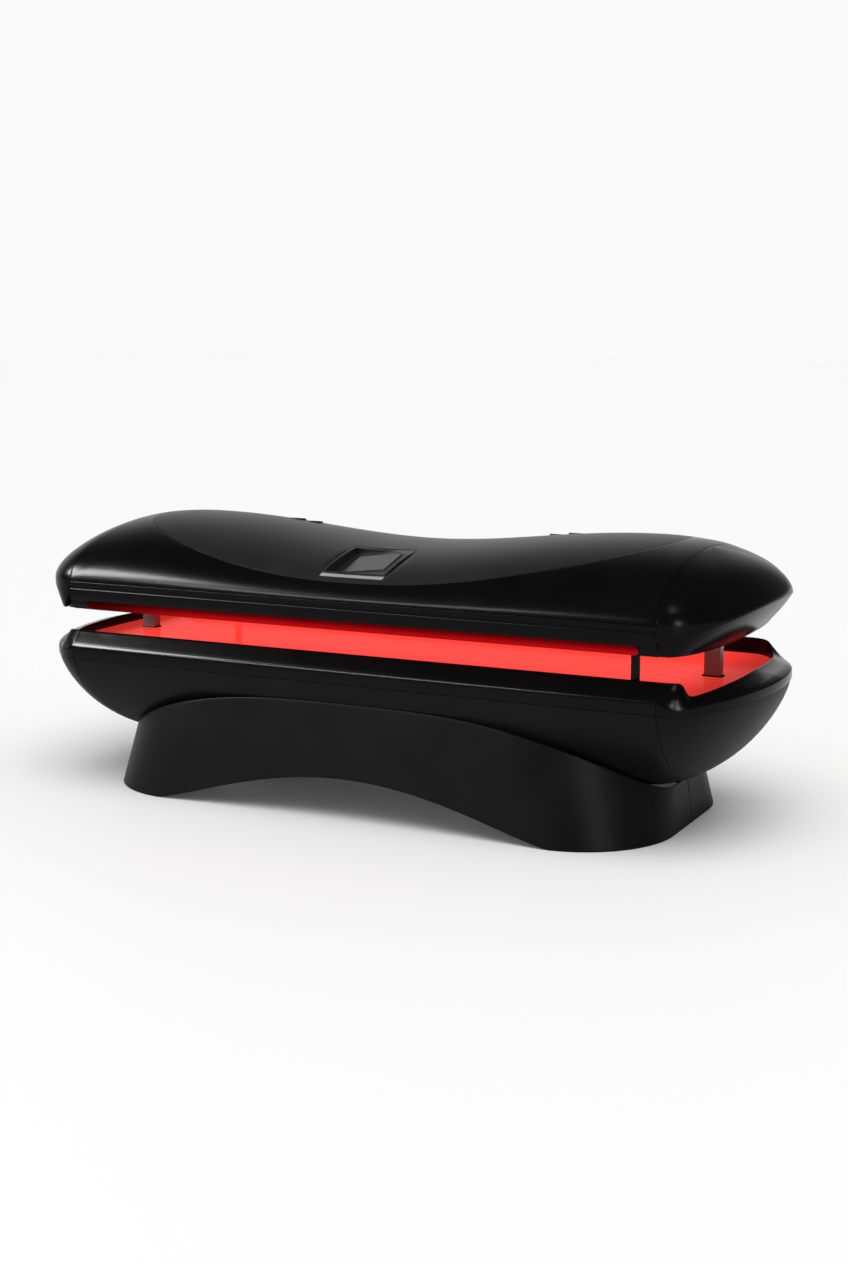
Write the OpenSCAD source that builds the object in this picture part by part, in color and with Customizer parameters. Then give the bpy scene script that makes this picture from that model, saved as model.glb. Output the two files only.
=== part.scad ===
/* [Bed] */
// Overall length over the bed's ends
bed_len = 2260; // [2230:10:2290]
// Width over the bed's bands
bed_w = 860; // [854:2:866]
// Height of the bed rails' top edge above the floor
rail_z = 475; // [470:1:480]
// Depth of the hull below the band seam
hull_drop = 275; // [270:1:278]
// Length of the end pieces beyond the seams
end_len = 210; // [208:1:214]

/* [Plinth] */
// Distance of the plinth's ends behind the bed's ends, at the floor
plinth_in = 246; // [242:1:250]
// Step of the plinth's foot outside the bed's sides
plinth_out = 6; // [5:1:10]
// Height of the skirt in the middle
skirt_h = 333; // [326:1:334]
// Height of the arch under the plinth
arch_h = 121; // [100:1:124]

/* [Canopy] */
// Gap between the bed rails and the canopy's lower edge
gap = 70; // [66:1:78]
// Height of the canopy's side rails
side_h = 85; // [82:1:90]
// Distance of the canopy's ends behind the bed's ends
canopy_in = 8; // [5:1:12]
// Overhang of the canopy's rails beyond the bed's sides
canopy_out = 8; // [6:1:10]
// Rise of the top above the side rails in the middle
saddle_h = 124; // [118:1:130]
// Rise of the top above the side rails at its two humps
hump_h = 178; // [172:1:184]
// Distance of the satin inlay's ends from the canopy's seams
inlay_in = 75; // [65:1:85]
// Distance of the satin inlay's sides from the canopy's sides
inlay_side = 39; // [36:1:46]

/* [Lift] */
// Travel of the canopy
lift = 360; // [300:5:365]
// Distance of the lifting columns behind the bed's ends
column_in = 194; // [193:1:196]
// Long side of the middle tube of a column
column_a = 46; // [45:1:47]
// Short side of the middle tube of a column
column_b = 28; // [27:1:29]

/* [Sheets] */
// Wall of the plastic covers
wall = 4; // [3.5:0.1:4.5]
// Thickness of the acrylic sheets
acrylic_t = 6; // [5:1:8]

/* [Hidden] */
$fn = 48;

// Colours as the photograph shows them
GLOSS = [0.07, 0.07, 0.08];
SATIN = [0.13, 0.13, 0.14];
CHARCOAL = [0.11, 0.11, 0.12];
STEEL = [0.62, 0.63, 0.65];
ALU = [0.75, 0.76, 0.78];
RED = [0.95, 0.30, 0.28];
BOARD = [0.10, 0.28, 0.16];
RUBBER = [0.05, 0.05, 0.05];

// Steps of an end curve and of a straight stretch
na = 16;
ns = 14;
// Small clearance round a fitted piece
fit = 0.2;

// Bed: half sizes, the band seam, the deck and the point that the hull's rings shrink to
xb = bed_len / 2;
yb = bed_w / 2;
seam_x = xb - end_len;
z_band = rail_z - 82;
z_deck = rail_z - 48;
hull_x = xb - 3;
hull_y = yb - 3;
hull_c = seam_x - 170;
end_p = 1.9;
hull_n = 2.2;
hull_m = 1.4;
// Bed's inner edge round the deck
deck_y = yb - 44;
deck_x = xb - 80;
deck_p = 2.5;
ledge = 36;
ledge_z = z_deck - acrylic_t;
ledge_t = 6;

// Dip of the rims' top between their horns
rim_dip = 16;

// Plinth: draft of its faces and the corner radius at the floor
xp = xb - plinth_in;
yp = yb + plinth_out;
draft_y = 0.09;
draft_x = 0.12;
corner_r = 280;
corner_grow = 0.33;
end_top = 121;
beam_x = xp - 284;
beam_z = 40;
beam_h = 50;
arch_x = xp - 246;
leg_y = 110;
chassis_z = z_band - 178;
chassis_h = 60;
rail_y = 110;
rail_w = 40;

// Canopy: heights of the lower edge, the panel seam and the top
z_low = rail_z + gap;
z_side = z_low + side_h;
xc = xb - canopy_in;
yc = yb + canopy_out;
inlay_x = seam_x - inlay_in;
inlay_y = yc - inlay_side;
hump_x = seam_x - 180;
hump_slope = 0.5;
dome_c = seam_x - 60;
dome_n = 2;
dome_m = 1.8;
dome_p = 1.95;
lip_x = xc - 87;
lip_p = 2.35;
inlay_p = 2.4;
inlay_t = 2.5;
sink_z = z_low + 44;
sink_t = 6;
can_ledge_z = z_low + 20;
can_beam_z = sink_z + sink_t;
can_beam_h = 40;
can_deck_x = xc - 145;
can_deck_y = yc - 54;

// Columns: three telescoping tubes with a flat gap between them
column_x = xb - column_in;
tube_t = 3;
tube_gap = 0.5;
outer_a = column_a + 2 * (tube_t + tube_gap);
outer_b = column_b + 2 * (tube_t + tube_gap);
inner_a = column_a - 2 * (tube_t + tube_gap);
inner_b = column_b - 2 * (tube_t + tube_gap);
foot_z = z_band - hull_drop + 79;
hole_a = outer_a + 6;
hole_b = outer_b + 6;

// Fans, posts and ribs
fan_s = 240;
fan_r = 100;
fan_h = 30;
fan_x = 600;
can_fan_x = 425;
post_x = seam_x - 78;
post_y = yb - 59;
post_d = 24;
rib_out = seam_x - 72;
rib_x = [-rib_out, -400, 400, rib_out];
rib_t = 8;
board_w = 2 * deck_y - 112;

// Screen recess in the top inlay
screen_y = -263;
screen_w = 200;
screen_l = 204;
screen_tilt = 15.7;
screen_lean = 7;

// Rise of the roof line above the side rails, along the length
function ridge(x) =
    let(a = abs(x), w = a < hump_x ? 0.5 - 0.5 * cos(180 * a / hump_x) : 1)
    saddle_h + (hump_h - saddle_h) * w - hump_slope * pow(max(a - hump_x, 0), 2) / 1000;

// A point of a rounded end: angle from -90 to 90, half length, half width, exponent
function end_pt(f, x0, xe, b, p) =
    [x0 + (xe - x0) * pow(abs(cos(f)), 2 / p), b * sign(sin(f)) * pow(abs(sin(f)), 2 / p)];

// Plan loop with straight sides up to x0 and rounded ends
function plan(x0, xe, b, p) = concat(
    [for (i = [0:na]) end_pt(-90 + 180 * i / na, x0, xe, b, p)],
    [for (i = [1:ns - 1]) [x0 - 2 * x0 * i / ns, b]],
    [for (i = [0:na]) -end_pt(-90 + 180 * i / na, x0, xe, b, p)],
    [for (i = [1:ns - 1]) [-x0 + 2 * x0 * i / ns, -b]]);

// Loop shrunk towards the middle line between two points at +-c
function shrink(l, c, r) =
    [for (q = l) let(a = abs(q.x), s = sign(q.x)) [a > c ? s * (c + r * (a - c)) : q.x, q.y * r]];

function at_z(l, z) = [for (q = l) [q.x, q.y, z]];

// Plan loop of a rectangle with round corners
function round_rect(a, b, r) = let(nc = 8) concat(
    [for (i = [0:nc]) [a - r + r * sin(90 * i / nc), -b + r - r * cos(90 * i / nc)]],
    [for (i = [0:nc]) [a - r + r * cos(90 * i / nc), b - r + r * sin(90 * i / nc)]],
    [for (i = [0:nc]) [-a + r - r * sin(90 * i / nc), b - r + r * cos(90 * i / nc)]],
    [for (i = [0:nc]) [-a + r - r * cos(90 * i / nc), -b + r - r * sin(90 * i / nc)]]);

// Closed solid through loops that rise in z and mirror over the middle plane. The loop's right
// tip is its point t, or lies half way between two points
module skin(loops, t) {
    n = len(loops[0]);
    k = len(loops);
    pts = [for (l = loops) for (q = l) q];
    side = [for (i = [0:k - 2]) for (j = [0:n - 1])
        let(a = i * n + j, b = i * n + (j + 1) % n, d = a + n, c = b + n)
        each [[a, d, c], [a, c, b]]];
    low = t == floor(t)
        ? [for (i = [0:n / 2 - 1])
            let(r0 = (t + i) % n, r1 = (t + i + 1) % n, f0 = (t - i + n) % n, f1 = (t - i - 1 + n) % n)
            each (i == 0 ? [[f1, f0, r1]] : i == n / 2 - 1 ? [[f1, f0, r0]]
                : [[f1, f0, r0], [f1, r0, r1]])]
        : [for (i = [0:n / 2 - 2])
            let(r0 = (t + 0.5 + i) % n, f0 = (t - 0.5 - i + n) % n, r1 = (r0 + 1) % n, f1 = (f0 - 1 + n) % n)
            each [[f1, f0, r0], [f1, r0, r1]]];
    o = (k - 1) * n;
    high = [for (q = low) [o + q[2], o + q[1], o + q[0]]];
    polyhedron(points = pts, faces = concat(side, low, high), convexity = 10);
}

// Hull volume below the band seam, taken in by e
module hull_solid(e) {
    top = plan(seam_x, hull_x - e, hull_y - e, end_p);
    drop = hull_drop - e;
    radii = [0.02, 0.2, 0.36, 0.5, 0.62, 0.72, 0.8, 0.865, 0.915, 0.95, 0.975, 0.99, 1];
    skin([for (r = radii)
        at_z(shrink(top, hull_c, r), z_band - drop * pow(1 - pow(r, hull_n), 1 / hull_m))], na / 2);
}

module hull_shell() {
    difference() {
        hull_solid(0);
        intersection() {
            hull_solid(wall);
            translate([-xb, -yb, 0]) cube([2 * xb, 2 * yb, z_band]);
        }
        for (x = [-beam_x, beam_x], y = [-leg_y, leg_y])
            translate([x - 32, y - 32, z_band - hull_drop - 10]) cube([64, 64, 60]);
    }
}

// Plinth volume with drafted faces, taken in by e
module plinth_solid(e) {
    skin([for (z = [0, 60, 120, 180, 240, 300, skirt_h + 5]) let(r = corner_r + corner_grow * z - e)
        at_z(round_rect(xp - e - draft_x * z, yp - e - draft_y * z, r), z)], 8.5);
}

// Height of the skirt's top edge and of its arch
function skirt_top(x) =
    end_top + (skirt_h - end_top) * pow(max(0, 1 - pow(min(1, abs(x) / (xp - 6)), 3.2)), 0.9);
function arch(x) = arch_h * pow(max(0, 1 - pow(x / arch_x, 2)), 1.4);

module skirt_outline() {
    top = [for (i = [0:48]) let(x = -(xp - 6) * cos(180 * i / 48)) [x, skirt_top(x)]];
    low = [for (i = [-12:12]) let(x = arch_x * sin(90 * i / 12)) [x, arch(x)]];
    polygon(concat([[-xp - 5, 0]], low, [[xp + 5, 0], [xp + 5, end_top]],
        [for (i = [48:-1:0]) top[i]], [[-xp - 5, end_top]]));
}

// One half of the skirt: s is -1 for the front
module skirt(s) {
    intersection() {
        difference() {
            plinth_solid(0);
            translate([0, 0, -1]) plinth_solid(wall);
            plinth_solid(wall);
            hull_solid(-1);
        }
        rotate([90, 0, 0]) linear_extrude(height = 2 * yp + 10, center = true) skirt_outline();
        translate([-xp - 10, s > 0 ? 0 : -yp - 10, -1]) cube([2 * xp + 20, yp + 10, skirt_h + 20]);
    }
    intersection() {
        plinth_solid(wall / 2);
        for (x = [-beam_x, beam_x])
            translate([x - 20, s > 0 ? yp - 42 : -yp + 2, beam_z + beam_h]) cube([40, 40, 4]);
    }
}

// Place of the inlet plate on the rear skirt
inlet_x = beam_x - 100;
inlet_z = 96;
inlet_w = 96;
inlet_h = 46;
module on_rear_skirt() {
    translate([inlet_x, yp - draft_y * inlet_z, inlet_z]) rotate([atan(draft_y), 0, 0]) children();
}

module skirt_front() {
    color(CHARCOAL) difference() {
        skirt(-1);
        screws(fit);
    }
}

module skirt_rear() {
    color(CHARCOAL) difference() {
        skirt(1);
        screws(fit);
        on_rear_skirt() translate([-inlet_w / 2 + 5, -12, -inlet_h / 2 + 5])
            cube([inlet_w - 10, 24, inlet_h - 10]);
    }
}

// Plates behind the skirt's end seams
joint_z = 62;
module at_end_seam(s) {
    translate([s * (xp - wall - draft_x * joint_z), 0, joint_z]) rotate([0, -s * atan(draft_x), 0])
        children();
}

module skirt_joiners() {
    color(STEEL) difference() {
        for (s = [-1, 1])
            at_end_seam(s) translate([s > 0 ? -4 - fit : fit, -45, -40]) cube([4, 90, 80]);
        screws(fit);
    }
}

// Flush screws each side of the end seams, grown by e for their holes
module screws(e) {
    for (s = [-1, 1], y = [-22, 22])
        at_end_seam(s) translate([0, y, 20]) rotate([0, s * 90, 0]) {
            translate([0, 0, 0.2 - e]) cylinder(r = 5 + e, h = wall - 0.4 + 6 * e);
            translate([0, 0, -9]) cylinder(r = 2.5 + e, h = 10);
        }
}

module skirt_screws() {
    color(RUBBER) screws(0);
}

module levelling_feet() {
    color(RUBBER) for (x = [-beam_x, beam_x], y = [-320, 320]) translate([x, y, 0]) {
        cylinder(r = 28, h = 12);
        cylinder(r = 8, h = beam_z);
        translate([0, 0, beam_z - 8]) cylinder(r = 14, h = 8, $fn = 6);
    }
}

module plinth_beam(x) {
    color(STEEL) translate([x - 30, -yp + 26, beam_z]) difference() {
        cube([60, 2 * yp - 52, beam_h]);
        translate([3, -1, 3]) cube([54, 2 * yp - 50, beam_h - 6]);
    }
}

module chassis_legs() {
    color(STEEL) for (x = [-beam_x, beam_x], y = [-leg_y, leg_y])
        translate([x - 30, y - 30, beam_z + beam_h]) difference() {
            cube([60, 60, chassis_z - beam_z - beam_h]);
            translate([3, 3, -1]) cube([54, 54, chassis_z]);
        }
}

module chassis_rail(s) {
    l = column_x + 36;
    color(STEEL) translate([-l, s * rail_y - rail_w / 2, chassis_z]) difference() {
        cube([2 * l, rail_w, chassis_h]);
        translate([-1, 3, 3]) cube([2 * l + 2, rail_w - 6, chassis_h - 6]);
    }
}

module hull_side(s) {
    color(CHARCOAL) intersection() {
        hull_shell();
        translate([-seam_x, s > 0 ? 0 : -yb, 0]) cube([2 * seam_x, yb, z_band]);
    }
}

module hull_end(s) {
    color(CHARCOAL) intersection() {
        hull_shell();
        translate([s > 0 ? seam_x : -xb - 5, -yb, 0]) cube([xb - seam_x + 5, 2 * yb, z_band]);
    }
}

// Ribs that carry the hull's covers and the deck on the chassis
module hull_ribs() {
    color(STEEL) for (x = rib_x) difference() {
        intersection() {
            hull_solid(wall);
            translate([x - rib_t / 2, -yb, z_band - hull_drop]) cube([rib_t, 2 * yb, hull_drop]);
        }
        for (y = [-rail_y, rail_y])
            translate([x - rib_t, y - rail_w / 2, chassis_z]) cube([2 * rib_t, rail_w, chassis_h]);
        for (y = [-245, -0, 245]) translate([x - rib_t, y, z_band - 66])
            rotate([0, 90, 0]) cylinder(r = 42, h = 2 * rib_t);
    }
}

// Section of a bed rail, outer side to the right
module bed_rail_section() {
    difference() {
        polygon([[yb, z_band], [yb, rail_z - 45], [yb - 2, rail_z - 39], [yb - 7, rail_z - 30],
            [yb - 15, rail_z - 18.5], [yb - 24, rail_z - 8], [yb - 31, rail_z - 2], [yb - 36, rail_z],
            [yb - 40, rail_z - 1], [yb - 43, rail_z - 5], [deck_y, rail_z - 10],
            [deck_y, ledge_z], [deck_y - ledge, ledge_z],
            [deck_y - ledge, ledge_z - ledge_t], [deck_y, ledge_z - ledge_t], [deck_y, z_band + 4],
            [deck_y - 6, z_band + 4], [deck_y - 6, z_band]]);
        polygon([[yb - 4, z_band + 4], [yb - 4, rail_z - 46], [yb - 6, rail_z - 40],
            [yb - 11, rail_z - 32], [yb - 19, rail_z - 21], [yb - 27, rail_z - 12], [yb - 34, rail_z - 6],
            [yb - 37, rail_z - 5.5], [deck_y + 4, rail_z - 10], [deck_y + 4, z_band + 4]]);
    }
}

module bed_rail(s) {
    color(SATIN) rotate([90, 0, 90]) linear_extrude(height = 2 * seam_x, center = true)
        scale([1, 1]) mirror([s > 0 ? 0 : 1, 0]) bed_rail_section();
}

// Points of one end of a plan loop, from the front seam round to the rear seam
function end_curve(xe, b, p) = [for (i = [0:na]) end_pt(-90 + 180 * i / na, seam_x, xe, b, p)];

// End piece round the deck: a walled section swept round the end
module bed_rim(s) {
    o = end_curve(xb, yb, end_p);
    o2 = end_curve(xb - 7, yb - 7, end_p);
    w = end_curve(deck_x, deck_y, deck_p);
    w2 = end_curve(deck_x + 4, deck_y + 4, deck_p);
    l = end_curve(deck_x - ledge, deck_y - ledge, deck_p);
    // Mix of the wall curve and the outer curve, a height and the share of the dip between the horns
    path = [
        [o, o, 0, z_band, 0], [o, o, 0, rail_z - 45, -0.8], [w, o, 0.955, rail_z - 39, -0.55],
        [w, o, 0.841, rail_z - 30, -0.12], [w, o, 0.659, rail_z - 18.5, 0.44],
        [w, o, 0.4545, rail_z - 8, 0.9], [w, o, 0.295, rail_z - 2, 1.06], [w, o, 0.182, rail_z, 1.03],
        [w, o, 0.091, rail_z - 1, 0.94], [w, o, 0.023, rail_z - 5, 0.75], [w, w, 0, rail_z - 10, 0.56],
        [w, w, 0, ledge_z, 0], [l, l, 0, ledge_z, 0], [l, l, 0, ledge_z - ledge_t, 0],
        [w2, w2, 0, ledge_z - ledge_t, 0], [w2, w2, 0, rail_z - 11, 0.9], [w2, o2, 0.15, rail_z - 6, 1.03],
        [w2, o2, 0.5, rail_z - 14, 0.85], [w2, o2, 0.78, rail_z - 28, 0.3],
        [w2, o2, 0.96, rail_z - 40, -0.3], [o2, o2, 0, rail_z - 48, -0.8], [o2, o2, 0, z_band, 0]];
    m = len(path);
    pts = [for (i = [0:na]) let(dip = abs(i - na / 2) > 0.42 * na ? 0 : rim_dip) for (q = path)
        let(a = q[0][i], b = q[1][i])
        [a.x + (b.x - a.x) * q[2], a.y + (b.y - a.y) * q[2], q[3] - dip * q[4]]];
    ring = [for (i = [0:na - 1]) for (j = [0:m - 1])
        let(a = i * m + j, b = i * m + (j + 1) % m, c = b + m, d = a + m) each [[a, b, c], [a, c, d]]];
    first = [for (j = [m - 1:-1:0]) j];
    last = [for (j = [0:m - 1]) na * m + j];
    color(SATIN) rotate([0, 0, s > 0 ? 0 : 180])
        polyhedron(points = pts, faces = concat(ring, [first], [last]), convexity = 10);
}

module bed_cross_bars() {
    color(STEEL) for (x = rib_x) translate([x - 10, -deck_y + 8, z_band]) difference() {
        cube([20, 2 * deck_y - 16, 12]);
        translate([2, -1, 2]) cube([16, 2 * deck_y, 8]);
    }
}

module bed_heat_sink() {
    edge = seam_x - 20;
    bays = [[-edge, -rib_out - 16], [-rib_out + 16, -416], [-384, 384], [416, rib_out - 16],
        [rib_out + 16, edge]];
    pitch = (deck_y - 50) / 12;
    color(ALU) {
        translate([-seam_x + 20, -deck_y + 14, z_band + 12])
            cube([2 * seam_x - 40, 2 * deck_y - 28, 6]);
        for (b = bays, y = [-12:12])
            translate([b[0], y * pitch - 1.5, z_band + 4]) cube([b[1] - b[0], 3, 8.5]);
    }
}

// Lamp boards side by side, each with rows of lamps
module led_boards(z, up) {
    n = 8;
    pitch = (2 * seam_x - 80) / n;
    row = (board_w - 60) / 10;
    for (i = [0:n - 1]) translate([-seam_x + 40 + i * pitch + 2, -board_w / 2, up > 0 ? z : z - 2]) {
        color(BOARD) cube([pitch - 4, board_w, 2]);
        color(ALU) for (k = [0:10]) translate([8, 30 + k * row, up > 0 ? 2 : -5])
            cube([pitch - 20, 12, 5]);
    }
}

module bed_led_boards() {
    led_boards(z_band + 18, 1);
}

module bed_acrylic() {
    e = 0.25;
    color(RED) translate([0, 0, ledge_z]) difference() {
        linear_extrude(height = acrylic_t) polygon(plan(seam_x, deck_x - e, deck_y - e, deck_p));
        for (s = [-1, 1]) {
            translate([s * column_x - hole_a / 2, -hole_b / 2, -1]) cube([hole_a, hole_b, acrylic_t + 2]);
            translate([s * post_x, -s * post_y, -1]) cylinder(d = post_d + 1, h = acrylic_t + 2);
        }
    }
}

// Trays that hang the columns between the chassis rails
module column_brackets() {
    in_y = rail_y - rail_w / 2;
    color(STEEL) for (s = [-1, 1]) {
        translate([s > 0 ? column_x - 78 : -column_x - 30, -in_y, foot_z - 6]) cube([108, 2 * in_y, 6]);
        for (y = [-in_y, in_y - 6])
            translate([s > 0 ? column_x - 78 : -column_x - 30, y, foot_z - 1])
                cube([108, 6, chassis_z + chassis_h - foot_z]);
    }
}

// Tube with flat walls, standing on z
module tube(a, b, z0, z1) {
    translate([-a / 2, -b / 2, z0]) difference() {
        cube([a, b, z1 - z0]);
        translate([tube_t, tube_t, -1]) cube([a - 2 * tube_t, b - 2 * tube_t, z1 - z0 + 2]);
    }
}

module column_outer(s) {
    color(STEEL) translate([s * column_x, 0, 0]) tube(outer_a, outer_b, foot_z, z_deck - 2);
}

module column_collars() {
    color(RUBBER) for (s = [-1, 1]) translate([s * column_x, 0, z_deck]) difference() {
        translate([-hole_a / 2 - 4, -hole_b / 2 - 4, 0]) cube([hole_a + 8, hole_b + 8, 5]);
        translate([-column_a / 2 - 1, -column_b / 2 - 1, -1]) cube([column_a + 2, column_b + 2, 7]);
    }
}

module column_middle(s) {
    color(STEEL) translate([s * column_x, 0, 0]) tube(column_a, column_b, foot_z + 2, sink_z - 6);
}

module column_inner(s) {
    color(ALU) translate([s * column_x, 0, 0]) tube(inner_a, inner_b, foot_z + 60, can_beam_z);
}

module lift_motors() {
    color(RUBBER) for (s = [-1, 1]) translate([s * (column_x - 53), 0, foot_z]) {
        translate([-20, -30, 0]) cube([40, 60, 70]);
        translate([0, 0, 70]) cylinder(r = 18, h = 50);
    }
}

module power_supplies() {
    z = chassis_z + chassis_h;
    color(ALU) for (s = [-1, 1]) translate([s * 250, 0, z]) {
        difference() {
            translate([-110, -130, 0]) cube([220, 260, 55]);
            for (y = [-100:20:100]) translate([-90, y - 4, 50]) cube([180, 8, 10]);
        }
    }
}

module control_box() {
    z = chassis_z + chassis_h;
    color(SATIN) translate([0, 0, z]) {
        translate([-95, -130, 0]) cube([190, 260, 40]);
        for (x = [-60:30:60]) translate([x - 10, -130, 40]) cube([20, 14, 12]);
    }
}

// Square frame of a fan with a spoked bearing plate below the rotor
module fan_frame() {
    difference() {
        translate([-fan_s / 2, -fan_s / 2 - 10, 0]) cube([fan_s, fan_s + 20, fan_h]);
        translate([0, 0, 5]) cylinder(r = fan_r, h = fan_h);
        difference() {
            translate([0, 0, -1]) cylinder(r = fan_r, h = 7);
            translate([0, 0, -2]) cylinder(r = 26, h = 9);
            for (a = [0:90:270]) rotate([0, 0, a + 45]) translate([0, -5, -2]) cube([fan_r + 5, 10, 9]);
        }
    }
    cylinder(r = 5, h = 20);
}

module fan_rotor() {
    difference() {
        cylinder(r = 28, h = 19);
        translate([0, 0, -1]) cylinder(r = 5.05, h = 16);
    }
    for (a = [0:40:320]) rotate([0, 0, a]) translate([26, -1.5, 3]) rotate([24, 0, 0])
        cube([fan_r - 30, 3, 15]);
}

module bed_fan_frames() {
    color(RUBBER) for (s = [-1, 1]) translate([s * fan_x, 0, chassis_z + chassis_h]) fan_frame();
}

module bed_fan_rotor(s) {
    color(SATIN) translate([s * fan_x, 0, chassis_z + chassis_h + 6]) fan_rotor();
}

// Posts that the lowered canopy rests on
module rest_posts() {
    color(RUBBER) for (s = [-1, 1]) translate([s * post_x, -s * post_y, ledge_z])
        cylinder(d = post_d, h = can_ledge_z - 12 - ledge_z);
}

module rest_buffers() {
    color(RUBBER) for (s = [-1, 1]) translate([s * post_x, -s * post_y, can_ledge_z - 12])
        cylinder(d1 = post_d, d2 = post_d - 4, h = 7.7);
}

// Inlet plate with a socket and the window of the switch
module power_inlet() {
    color(RUBBER) on_rear_skirt() difference() {
        union() {
            translate([-inlet_w / 2, fit, -inlet_h / 2]) cube([inlet_w, 3, inlet_h]);
            translate([-inlet_w / 2 + 6, -26, -inlet_h / 2 + 6]) cube([inlet_w - 12, 27, inlet_h - 12]);
        }
        translate([-38, -16, -12]) cube([42, 20, 24]);
        translate([rocker_x - 10, -14, -11]) cube([20, 20, 22]);
        translate([rocker_x, rocker_y, 0]) rotate([0, 90, 0])
            cylinder(r = rocker_pin + 0.05, h = 27, center = true);
    }
    color(STEEL) on_rear_skirt() for (x = [-29, -17, -5])
        translate([x - 1, -17, -3]) cube([2, 12, 6]);
}

// Rocker that tips about the pin across its window
rocker_x = 24;
rocker_y = -3;
rocker_pin = 1.5;
module power_rocker() {
    color(SATIN) on_rear_skirt() translate([rocker_x, rocker_y, 0]) rotate([-10, 0, 0])
        rotate([0, 90, 0]) {
            linear_extrude(height = 19, center = true)
                polygon([[-9, 0], [-9.6, 7], [0, 4.6], [9.6, 7], [9, 0], [4, -5], [-4, -5]]);
            cylinder(r = rocker_pin, h = 25, center = true);
        }
}

// Plan loop of the canopy at a height below the panel seam: t runs from 0 at the lip to 1
function side_loop(t, e) =
    let(xe = lip_x + (xc - lip_x) * sin(90 * t), p = lip_p + (dome_p - lip_p) * t)
    plan(seam_x, xe - e, yc - e, p);

// Canopy volume, taken in by e, open to lo below
module canopy_solid(e, lo) {
    base = plan(seam_x, xc - e, yc - e, dome_p);
    radii = [0.995, 0.98, 0.95, 0.91, 0.86, 0.79, 0.7, 0.6, 0.48, 0.34, 0.18, 0.02];
    lower = [for (t = [0, 0.12, 0.3, 0.55, 0.8, 1]) at_z(side_loop(t, e), z_low + side_h * t)];
    below = lo > 0 ? [at_z(side_loop(0, e), z_low - lo)] : [];
    upper = [for (r = radii) let(h = pow(1 - pow(r, dome_n), 1 / dome_m))
        [for (q = shrink(base, dome_c, r)) [q.x, q.y, z_side + (ridge(q.x) - e) * h]]];
    skin(concat(below, lower, upper), na / 2);
}

module inlay_prism(e, z0, h) {
    n = 96;
    translate([0, 0, z0]) linear_extrude(height = h) polygon([for (i = [0:n - 1])
        let(f = 360 * i / n, c = cos(f), s = sin(f))
        [(inlay_x + e) * sign(c) * pow(abs(c), 2 / inlay_p),
         (inlay_y + e) * sign(s) * pow(abs(s), 2 / inlay_p)]]);
}

// Volume of the screen's tray, taken in by e
screen_z = z_side + ridge(0) * pow(1 - pow(abs(screen_y) / yc, dome_n), 1 / dome_m);
module in_screen() {
    translate([0, screen_y, screen_z]) rotate([screen_tilt, 0, 0]) children();
}

module screen_block(e, deep) {
    in_screen() translate([-screen_w / 2 + e, -screen_l / 2 + e, -deep])
        cube([screen_w - 2 * e, screen_l - 2 * e, deep + 60]);
}

vents = [[-471, 142], [-411, 142], [411, 142], [471, 142]];
vent_r = 26;
vent_tilt = 8;

// Place on the roof of each vent, leaning with the slope there
module at_vents() {
    for (v = vents)
        translate([v.x, v.y, z_side + ridge(v.x) * pow(1 - pow(v.y / yc, dome_n), 1 / dome_m)])
            rotate([-vent_tilt, 0, 0]) children();
}

module vent_holes(r) {
    at_vents() translate([0, 0, -40]) cylinder(r = r, h = 80);
}

module canopy_shell() {
    color(GLOSS) intersection() {
        union() {
            difference() {
                canopy_solid(0, 0);
                canopy_solid(wall + 1, 20);
                inlay_prism(0, z_side, 400);
            }
            difference() {
                intersection() {
                    canopy_solid(inlay_t, 0);
                    inlay_prism(1, z_side, 400);
                }
                canopy_solid(wall + 1, 20);
                inlay_prism(-14, z_side, 400);
            }
        }
        translate([-seam_x, -yc - 5, z_side]) cube([2 * seam_x, 2 * yc + 10, 400]);
    }
}

module canopy_top_inlay() {
    color(SATIN) difference() {
        intersection() {
            canopy_solid(0, 0);
            inlay_prism(-0.8, z_side, 400);
        }
        canopy_solid(inlay_t, 20);
        screen_block(0, 60);
        vent_holes(vent_r + fit);
    }
}

module canopy_cap(s) {
    color(GLOSS) intersection() {
        difference() {
            canopy_solid(0, 0);
            canopy_solid(wall + 1, 20);
        }
        translate([s > 0 ? seam_x : -xc - 10, -yc - 5, z_low]) cube([xc - seam_x + 10, 2 * yc + 10, 500]);
    }
}

// Section of a canopy side rail with its groove and two ledges
module canopy_rail_section() {
    polygon([[yc, z_low + 46], [yc, z_side - 23], [yc - 4, z_side - 21], [yc - 4, z_side - 18],
        [yc, z_side - 16], [yc, z_side], [yc - 7, z_side], [yc - 7, sink_z],
        [can_deck_y - 10, sink_z], [can_deck_y - 10, sink_z - 4], [yc - 12, sink_z - 4],
        [yc - 18, can_ledge_z + 8], [yc - 18, can_ledge_z], [yc - 92, can_ledge_z],
        [yc - 92, can_ledge_z - 4], [yc - 26, can_ledge_z - 4], [yc - 26, z_low], [yc - 21, z_low],
        [yc - 21, z_low + 5], [yc - 14, z_low + 14], [yc - 13, z_low + 27], [yc - 6, z_low + 28],
        [yc - 2, z_low + 37]]);
}

// Section of the lit strip in the tucked lower face of a canopy rail
module edge_light_section() {
    polygon([[yc - 12.7, z_low + 26.5], [yc - 6.8, z_low + 26.5], [yc - 7.6, z_low + 20],
        [yc - 9.5, z_low + 13], [yc - 13, z_low + 6], [yc - 17.5, z_low + 1.5],
        [yc - 20.4, z_low + 0.5], [yc - 20.4, z_low + 5.1], [yc - 13.5, z_low + 13.9]]);
}

module canopy_rail(s) {
    color(GLOSS) rotate([90, 0, 90]) linear_extrude(height = 2 * seam_x, center = true)
        mirror([s > 0 ? 0 : 1, 0]) canopy_rail_section();
}

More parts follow.
